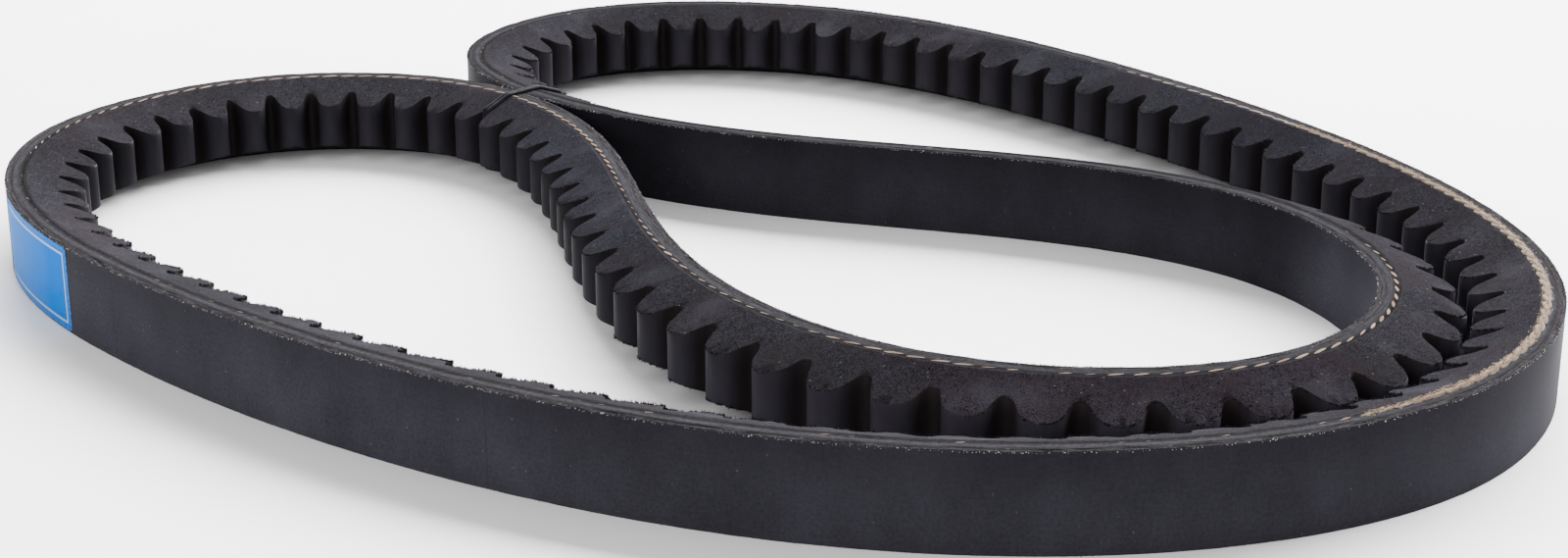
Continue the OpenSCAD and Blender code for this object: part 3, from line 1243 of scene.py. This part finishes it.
@dataclass
class Fuzz:
    """One kind of short loose fibres: thin three-sided spikes set along the belt."""

    name: str
    slot: str
    count: int
    seed: int
    length: tuple[float, float]
    thick: tuple[float, float]
    unruly: float
    shortest: float = 0.4
    clump_samples: int = 2048
    clump_grain: float = 5
    clump_draw: tuple[float, float] = (-1.2, 0.8)

    def stations(self) -> tuple[np.ndarray, np.random.Generator]:
        """Random, clustered places along the belt.

        More places than needed are drawn, and a smooth random line says how likely each is
        to be kept.

        Returns:
            The places, counted in cogs, and the generator for more draws.
        """
        rng, samples = np.random.default_rng(self.seed + 100), self.clump_samples
        cog = rng.uniform(0, ROUTE.cogs, self.count * 2)
        sample = (cog / ROUTE.cogs * samples).astype(int) % samples
        clump = smooth_noise(samples, self.clump_grain, self.seed)[sample]
        keep = rng.uniform(*self.clump_draw, self.count * 2) < clump
        return np.sort(cog[keep])[: self.count], rng

    def build(self, roots: np.ndarray, lean: np.ndarray, finish: Material) -> Piece:
        """Makes the fibres.

        A fibre is a slim pyramid: three base points round its root, and a tip along its lean
        with a random turn added.

        Args:
            roots: where the fibres start, shape (n, 3).
            lean: the direction that each leans in, shape (n, 3).
            finish: their finish.

        Returns:
            The piece.
        """
        rng = np.random.default_rng(self.seed)
        n = len(roots)
        axis = lean + self.unruly * rng.normal(size=(n, 3))
        axis /= np.linalg.norm(axis, axis=1, keepdims=True)
        side = np.cross(axis, rng.normal(size=(n, 3)))
        side /= np.linalg.norm(side, axis=1, keepdims=True)
        other = np.cross(axis, side)
        long = rng.uniform(*self.length, size=(n, 1)) * rng.uniform(self.shortest, 1.0, size=(n, 1))
        thick = rng.uniform(*self.thick, size=(n, 1))
        angle = (np.arange(3) * 2 * math.pi / 3)[None, :, None]
        ring = side[:, None] * np.cos(angle) + other[:, None] * np.sin(angle)
        base = roots[:, None] - axis[:, None] * thick[:, None] + thick[:, None] * ring
        points = np.concatenate([base, (roots + axis * long)[:, None]], 1)
        points[..., 2] = np.maximum(points[..., 2], 0.0)
        pattern = np.array([[0, 1, 3], [1, 2, 3], [2, 0, 3], [0, 2, 1]])
        faces = (np.arange(n)[:, None, None] * 4 + pattern).reshape(-1, 3)
        bare = np.repeat(rng.uniform(size=n), 4)
        piece = build_mesh(self.name, points.reshape(-1, 3), faces, None, False, {"bareness": bare})
        dress(piece, finish)
        return seat(piece, self.slot)


@dataclass
class LooseFibres:
    """The fibres at the plies' cut edges, on the bared cord and on the cogs' corners."""

    ply: FibreEnds = FibreEnds(
        "ply_fibres", dark=(0.0145, 0.0132, 0.0138), pale=(0.140, 0.134, 0.130), share=0.26
    )
    cord: FibreEnds = FibreEnds(
        "cord_fibres", dark=(0.160, 0.112, 0.080), pale=(0.280, 0.225, 0.175), share=0.7
    )
    crumb: FibreEnds = FibreEnds(
        "rubber_crumbs", dark=(0.0105, 0.0098, 0.0110), pale=(0.045, 0.041, 0.042), share=0.10
    )
    weave: FibreEnds = FibreEnds(
        "weave_end_fibres", dark=(0.034, 0.033, 0.035), pale=(0.420, 0.410, 0.400), share=0.45
    )
    ply_reach: float = 0.30 * MM
    ply_outward: float = 0.8
    weave_jitter: float = 0.2
    weave_drop: float = 0.16
    weave_waver: float = 0.06
    frayed_cord: tuple[float, float] = (26.6, 44)
    fray_reach: float = 0.42
    fray_level: float = 0.9
    fray_sink: float = 0.02 * MM
    frayed_cogs: tuple[float, float] = (2, 31)
    frayed_share: float = 0.4
    crumb_sink: float = 0.05 * MM

    def ply_ends(self, flank: Flank, finish: Material) -> Piece:
        """Makes the fibres at the plies' cut edges on one flank.

        They start near the back, and lean outwards, up a little and either way along.

        Args:
            flank: the flank.
            finish: their finish.

        Returns:
            The piece.
        """
        upper = flank is Flank.UPPER
        count, level, up = (8200, SECTION.width, 0.7) if upper else (6000, 0.02 * MM, 0.15)
        fuzz = Fuzz(
            f"ply_fibres_{flank.name.lower()}", "back_fabric", count, seed=40 + flank.value,
            length=(0.12 * MM, 0.60 * MM), thick=(0.03 * MM, 0.07 * MM), unruly=0.45,
        )
        cog, rng = fuzz.stations()
        depth = np.abs(rng.normal(0, self.ply_reach, len(cog)))
        _, head, inward = ROUTE.at(cog)
        outward = self.ply_outward
        flat = -inward * outward + head * rng.normal(0, outward, (len(cog), 1))
        lean = np.column_stack([flat, np.full(len(cog), up)])
        return fuzz.build(ROUTE.spots(cog, depth, level), lean, finish)

    def weave_ends(self) -> Piece:
        """Makes the row of cut thread ends just under the back's upper edge.

        Returns:
            The piece, with its ends evenly spaced apart from a small jitter.
        """
        fuzz = Fuzz(
            "weave_ends", "back_fabric", 3600, seed=51,
            length=(0.13 * MM, 0.24 * MM), thick=(0.11 * MM, 0.18 * MM), unruly=0.3,
        )
        rng = np.random.default_rng(fuzz.seed + 1)
        spot = np.arange(fuzz.count) + rng.normal(0, self.weave_jitter, fuzz.count)
        cog = spot * ROUTE.cogs / fuzz.count
        drop = (self.weave_drop + rng.normal(0, self.weave_waver, fuzz.count)) * MM
        level = SECTION.width - drop
        lean = np.column_stack([-ROUTE.at(cog)[2], np.zeros(fuzz.count)])
        return fuzz.build(ROUTE.spots(cog, 0.0, level), lean, self.weave.build())

    def cord_frays(self, finish: Material) -> Piece:
        """Makes the frays on the bared stretch of the upper edge cord.

        They lie along the cord's crest, either way, and stay close to it.

        Args:
            finish: their finish.

        Returns:
            The piece.
        """
        fuzz = Fuzz(
            "cord_frays", "cord", 4200, seed=61,
            length=(0.5 * MM, 1.6 * MM), thick=(0.03 * MM, 0.06 * MM), unruly=0.12,
        )
        rng = np.random.default_rng(fuzz.seed + 1)
        cog = rng.uniform(*self.frayed_cord, fuzz.count)
        depth = UPPER_CORD.depth + rng.normal(0, self.fray_reach, fuzz.count) * MM
        level = SECTION.width + UPPER_CORD.lift(cog) * self.fray_level - self.fray_sink
        _, head, inward = ROUTE.at(cog)
        column = (fuzz.count, 1)
        flat = head * rng.choice([-1, 1], column) + inward * rng.normal(0, 0.2, column)
        lean = np.column_stack([flat, np.full(fuzz.count, 0.05)])
        return fuzz.build(ROUTE.spots(cog, depth, level), lean, finish)

    def cog_crumbs(self, flank: Flank, finish: Material) -> Piece:
        """Makes the rubber crumbs along the cogs' corners on one flank.

        A share of them crowds into the frayed run of cogs, where those on the upper flank sit
        higher and stand up.

        Args:
            flank: the flank.
            finish: their finish.

        Returns:
            The piece.
        """
        upper, (first, last) = flank is Flank.UPPER, self.frayed_cogs
        fuzz = Fuzz(
            f"cog_crumbs_{flank.name.lower()}", "compression_rubber", 6400, seed=80 + flank.value,
            length=(0.15 * MM, 0.60 * MM), thick=(0.12 * MM, 0.28 * MM), unruly=0.5,
        )
        cog, rng = fuzz.stations()
        crowded = rng.uniform(size=len(cog)) < self.frayed_share
        cog = np.where(crowded, rng.uniform(first, last, len(cog)), cog)
        depth = SECTION.valley + SECTION.cog_rise(cog, ROUTE.pitch) - self.crumb_sink
        frayed = (cog > first) & (cog < last) & upper
        rise = SECTION.flank_rise(depth) + np.where(frayed, 0.02, 0.12) * MM
        level = SECTION.width - rise if upper else rise
        up = np.where(frayed, 2.2, 0.5 if upper else -1.0)
        lean = np.column_stack([ROUTE.at(cog)[2], up])
        return fuzz.build(ROUTE.spots(cog, depth, level), lean, finish)

    def build(self) -> list[Piece]:
        """Makes all of the loose fibres."""
        ply, cord, crumb = (finish.build() for finish in (self.ply, self.cord, self.crumb))
        return [
            self.ply_ends(Flank.UPPER, ply), self.ply_ends(Flank.LOWER, ply), self.weave_ends(),
            self.cord_frays(cord), *(self.cog_crumbs(flank, crumb) for flank in Flank),
        ]


@dataclass
class Label:
    """Thin blue film round the left end of the back, from the first place to the last in cogs."""

    first: float = -0.4
    last: float = 3.1
    margin: float = 0.30 * MM
    thick: float = 0.12 * MM
    tuck: float = 0.02 * MM
    corner: float = 0.8 * MM
    border: float = 0.45 * MM
    # how fast the painted sheen falls off from the film's start
    painted_sheen: float = 1.25
    columns: int = 100
    rows: int = 40

    def build(self) -> list[Piece]:
        """Makes the film.

        The film is a closed shell: its outer sheet lies one thickness outside the back, its
        inner sheet on the back, and the corners are rounded by pulling the ends of the top
        and bottom rows in along a quarter circle.

        Returns:
            The piece.
        """
        a = np.linspace(0, 1, self.columns)[:, None]
        b = np.linspace(0, 1, self.rows)[None, :]
        tall = SECTION.width - 2 * self.margin
        wide = (self.last - self.first) * ROUTE.pitch
        from_edge = np.minimum(b, 1 - b) * tall
        over = self.corner - from_edge
        arc = self.corner - np.sqrt(np.maximum(self.corner**2 - over**2, 0))
        pull = np.where(over > 0, arc, 0)
        along = pull + (wide - 2 * pull) * a
        height = self.margin + tall * b + 0 * along
        inset = np.minimum(np.minimum(along, wide - along), from_edge)

        cog = (self.first + along / ROUTE.pitch).reshape(-1)
        sheets = [ROUTE.spots(cog, depth, height.reshape(-1)) for depth in (-self.thick, self.tuck)]
        sheet = grid_faces(self.columns, self.rows, False, False)
        count = self.columns * self.rows
        rim = np.concatenate([
            np.arange(0, count, self.rows), np.arange(count - self.rows + 1, count),
            np.arange(count - 1 - self.rows, 0, -self.rows), np.arange(self.rows - 2, 0, -1),
        ])
        after = np.roll(rim, -1)
        wall = np.stack([rim, rim + count, after + count, after], -1)
        faces = np.concatenate([sheet, sheet[:, ::-1] + count, wall[:, ::-1]])
        place = np.stack([along, height], -1).reshape(-1, 2)
        fields = {
            "border": np.exp(-inset / self.border),
            # painted sheen: full at the film's start, gone four fifths of the way along
            "painted_sheen": np.clip(1 - along / wide * self.painted_sheen, 0, 1),
            "inset": inset / MM,
        }
        values = {name: np.tile(field.reshape(-1), 2) for name, field in fields.items()}
        uv = np.concatenate([place, place])[faces]
        piece = build_mesh("label_film", np.concatenate(sheets), faces, uv, True, values)
        dress(piece, LabelFilm().build(), crisp=40)
        return [seat(piece, "label_film", "back_label")]


@dataclass
class Tie:
    """Two turns of thin coated wire round the neck, and their twisted ends behind it."""

    wire: float = 0.75 * MM
    gap: float = 0.03 * MM
    front_valley: float = 121
    back_valley: float = 72
    lift: float = 0.4707 * MM
    wander: float = 0.04 * MM
    wander_grain: float = 14
    samples: int = 200
    sample_run: float = 0.3 * MM
    corner_steps: int = 12
    sides: int = 10
    twist_height: float = 8 * MM
    twist_turns: int = 3
    rows_per_turn: int = 24

    @property
    def radius(self) -> float:
        """Half the wire's thickness."""
        return self.wire / 2

    @property
    def ring(self) -> np.ndarray:
        """Angles round the wire, shape (sides,)."""
        return np.arange(self.sides) * 2 * math.pi / self.sides

    def neck(self) -> tuple[np.ndarray, np.ndarray, np.ndarray, float]:
        """The squeezed neck, from one cog valley to the one behind it.

        Returns:
            Its middle, the directions across it and along it, and half its width.
        """
        valleys = np.array([self.front_valley, self.back_valley], float)
        ends = ROUTE.spots(valleys, SECTION.valley + self.lift, 0.0)[:, :2]
        across = ends[1] - ends[0]
        half = float(np.linalg.norm(across)) / 2
        across = across / (2 * half)
        return ends.mean(0), across, np.array([-across[1], across[0]]), half

    def loop(self) -> tuple[np.ndarray, np.ndarray]:
        """Middle line of a wire turn in the tie's plane.

        The line runs round the neck's squeezed section one wire radius outside it: straight
        from corner to corner, and round each corner on an arc.

        Returns:
            Points (across, up), evenly spaced by length, and outward directions, each of
            shape (samples, 2).
        """
        s, half = SECTION, self.neck()[3]
        slope = math.tan(s.half_angle)
        reach = s.valley + self.lift - s.band
        rise, flat = slope * reach, half - reach
        bed = self.wire + 2 * self.gap
        corners = np.array([
            (half, rise), (half, s.width - rise), (flat, s.width), (-flat, s.width),
            (-half, s.width - rise), (-half, rise),
            (-flat - bed / slope, bed), (flat + bed / slope, bed),
        ])
        edge = np.roll(corners, -1, 0) - corners
        angle = np.unwrap(np.arctan2(-edge[:, 0], edge[:, 1]))
        before = np.concatenate([[angle[-1] - 2 * math.pi], angle[:-1]])
        turn = before[:, None] + (angle - before)[:, None] * np.linspace(0, 1, self.corner_steps)
        outward = np.stack([np.cos(turn), np.sin(turn)], -1)
        line = (corners[:, None] + (self.radius + self.gap) * outward).reshape(-1, 2)
        outward = outward.reshape(-1, 2)
        closed, faced = (np.concatenate([path, path[:1]]) for path in (line, outward))
        walked = np.concatenate([[0], np.cumsum(np.linalg.norm(np.diff(closed, axis=0), axis=1))])
        at = np.arange(self.samples) / self.samples * walked[-1]
        points, out = (
            np.stack([np.interp(at, walked, path[:, k]) for k in (0, 1)], -1)
            for path in (closed, faced)
        )
        return points, out / np.linalg.norm(out, axis=1, keepdims=True)

    def turn(self, name: str, node: str, shift: float, seed: int, finish: Material) -> Piece:
        """Makes one turn of wire.

        A circle of points is set round the turn's middle line, in the plane of the outward
        direction and the direction along the belt, and the turn wanders a little sideways.

        Args:
            name: name of the piece.
            node: the CAD node it stands for.
            shift: how far it lies along the belt from the tie's middle.
            seed: seed of its wander.
            finish: its finish.

        Returns:
            The piece.
        """
        middle, across, along, _ = self.neck()
        line, out = self.loop()
        over = (self.radius * np.cos(self.ring))[:, None]
        reach, up = np.moveaxis(line[:, None] + out[:, None] * over, -1, 0)
        wander = self.wander * smooth_noise(self.samples, self.wander_grain, seed)
        side = shift + wander[:, None] - self.radius * np.sin(self.ring)
        xy = middle + across * reach[..., None] + along * side[..., None]
        points = np.concatenate([xy, up[..., None]], -1).reshape(-1, 3)
        faces = grid_faces(self.samples, self.sides, True, True)
        run = np.arange(self.samples)[:, None] * self.sample_run
        uv = np.stack(np.broadcast_arrays(run, self.ring * self.radius), -1).reshape(-1, 2)[faces]
        piece = build_mesh(name, points, faces, uv)
        dress(piece, finish)
        return seat(piece, "tie_wire", node)

    def twist(self, finish: Material) -> Piece:
        """Makes the twisted ends.

        Two wires wind round an upright line, half a turn apart, and each is a circle carried
        up its helix with its ends closed by a fan to a middle point.

        Args:
            finish: their finish.

        Returns:
            The piece.
        """
        middle, across, _, half = self.neck()
        coil = self.radius + self.gap
        spot = middle + across * (half + self.wire + 2 * self.gap + coil + self.radius)
        rows = self.twist_turns * self.rows_per_turn + 1
        rise = np.linspace(0, 1, rows)
        up = rise * self.twist_height + (SECTION.width - self.twist_height) / 2
        circle = self.radius * np.stack([np.cos(self.ring), np.sin(self.ring)], -1)
        quads = grid_faces(rows, self.sides, False, True)[:, ::-1]
        k = np.arange(self.sides)
        after, top = (k + 1) % self.sides, (rows - 1) * self.sides
        end = np.full_like(k, rows * self.sides)
        fans = [np.stack([after, k, end], -1), np.stack([top + k, top + after, end + 1], -1)]
        tube = np.concatenate([quads[:, [0, 1, 2]], quads[:, [0, 2, 3]], *fans])
        points = []
        for wire in range(2):
            spin = math.pi * wire + 2 * math.pi * self.twist_turns * rise
            centre = spot + coil * np.stack([np.cos(spin), np.sin(spin)], -1)
            xy = centre[:, None] + circle
            body = np.concatenate([xy, np.broadcast_to(up[:, None, None], (*xy.shape[:2], 1))], -1)
            points += [body.reshape(-1, 3), np.stack([body[0].mean(0), body[-1].mean(0)])]
        faces = np.concatenate([tube, tube + rows * self.sides + 2])
        vertices = np.concatenate(points)
        piece = build_mesh("tie_twisted_ends", vertices, faces, vertices[:, [2, 0]][faces])
        dress(piece, finish)
        return seat(piece, "tie_wire", "tie_twist")

    def build(self) -> list[Piece]:
        """Makes both turns and the twisted ends.

        Returns:
            The three pieces.
        """
        finish = TieCoat().build()
        offset = self.radius + 2 * self.gap
        return [
            self.turn("tie_upper_turn", "tie_turn_upper", offset, 71, finish),
            self.turn("tie_lower_turn", "tie_turn_lower", -offset, 72, finish),
            self.twist(finish),
        ]


# ---- The studio ----------------------------------------------------------------------


@dataclass(frozen=True)
class SoftLight:
    """A rectangular light that faces a point near the belt."""

    name: str
    place: tuple[float, float, float]
    size: tuple[float, float]
    power: float
    aim: tuple[float, float, float] = (0, 0, 0)

    def build(self) -> None:
        """Makes the light.

        Its own downward direction is tipped by the angle to the vertical, and then turned
        towards the point.
        """
        lamp = bpy.data.lights.new(self.name, "AREA")
        lamp.shape, lamp.size, lamp.size_y, lamp.energy = "RECTANGLE", *self.size, self.power
        holder = bpy.data.objects.new(self.name, lamp)
        bpy.context.scene.collection.objects.link(holder)
        away = np.array(self.place) - np.array(self.aim)
        tip = math.atan2(math.hypot(away[0], away[1]), away[2])
        holder.location = self.place
        holder.rotation_euler = (tip, 0, math.atan2(away[0], -away[1]))


@dataclass
class Studio:
    """Pale floor, soft lights and the camera."""

    eye: tuple[float, float, float] = (9.245 * MM, -480.668 * MM, 159.628 * MM)
    tilt: float = 70.906
    lens: float = 59.44
    sensor: float = 36.0
    sight: tuple[float, float] = (0.01, 50.0)
    floor_reach: float = 6.0
    floor_drop: float = 0.05 * MM
    sky: float = 0.9
    lights: tuple[SoftLight, ...] = (
        SoftLight("back_light", (0.62, 1.43, 1.09), (3.2, 1.7), 555),
        SoftLight("left_light", (-0.95, -1.0, 0.5), (0.9, 0.7), 10, (-0.1, 0, 0)),
        SoftLight("right_light", (1.3, -0.3, 0.5), (0.8, 0.9), 2),
        SoftLight("front_fill", (0.0, -1.3, 0.35), (1.5, 0.4), 5),
    )

    def backdrop(self) -> None:
        """Makes the even white surroundings."""
        world = bpy.data.worlds.new("studio")
        bpy.context.scene.world = world
        world.use_nodes = True
        inputs = world.node_tree.nodes["Background"].inputs
        inputs["Color"].default_value = (1.0, 1.0, 1.0, 1.0)
        inputs["Strength"].default_value = self.sky

    def camera(self) -> None:
        """Adds the camera."""
        lens = bpy.data.cameras.new("camera")
        lens.lens, lens.sensor_width = self.lens, self.sensor
        lens.clip_start, lens.clip_end = self.sight
        holder = bpy.data.objects.new("camera", lens)
        holder.location = self.eye
        holder.rotation_euler = (math.radians(self.tilt), 0, 0)
        bpy.context.scene.collection.objects.link(holder)
        bpy.context.scene.camera = holder

    def floor(self) -> Piece:
        """Makes the pale floor: one flat sheet just under the belt.

        Returns:
            The floor.
        """
        signs = np.array([(-1, -1), (1, -1), (1, 1), (-1, 1)], float)
        points = np.column_stack([signs * self.floor_reach, np.full(4, -self.floor_drop)])
        plane = build_mesh("floor", points, np.array([[0, 1, 2, 3]]), None, False)
        dress(plane, PaleFloor().build())
        return plane

    def build(self) -> list[Piece]:
        """Makes the whole studio.

        Returns:
            The floor.
        """
        self.backdrop()
        self.camera()
        floor = self.floor()
        for light in self.lights:
            light.build()
        return [floor]


def main() -> None:
    """Builds the studio, then the belt from its cogs outwards, then what is on it."""
    logging.basicConfig(level=logging.INFO, format="%(message)s")
    for maker in (Studio(), CoggedBody(), Band(), LooseFibres(), Label(), Tie()):
        for piece in maker.build():
            LOG.info("%s: %d faces", piece.name, len(piece.data.polygons))


if __name__ == "__main__":
    main()
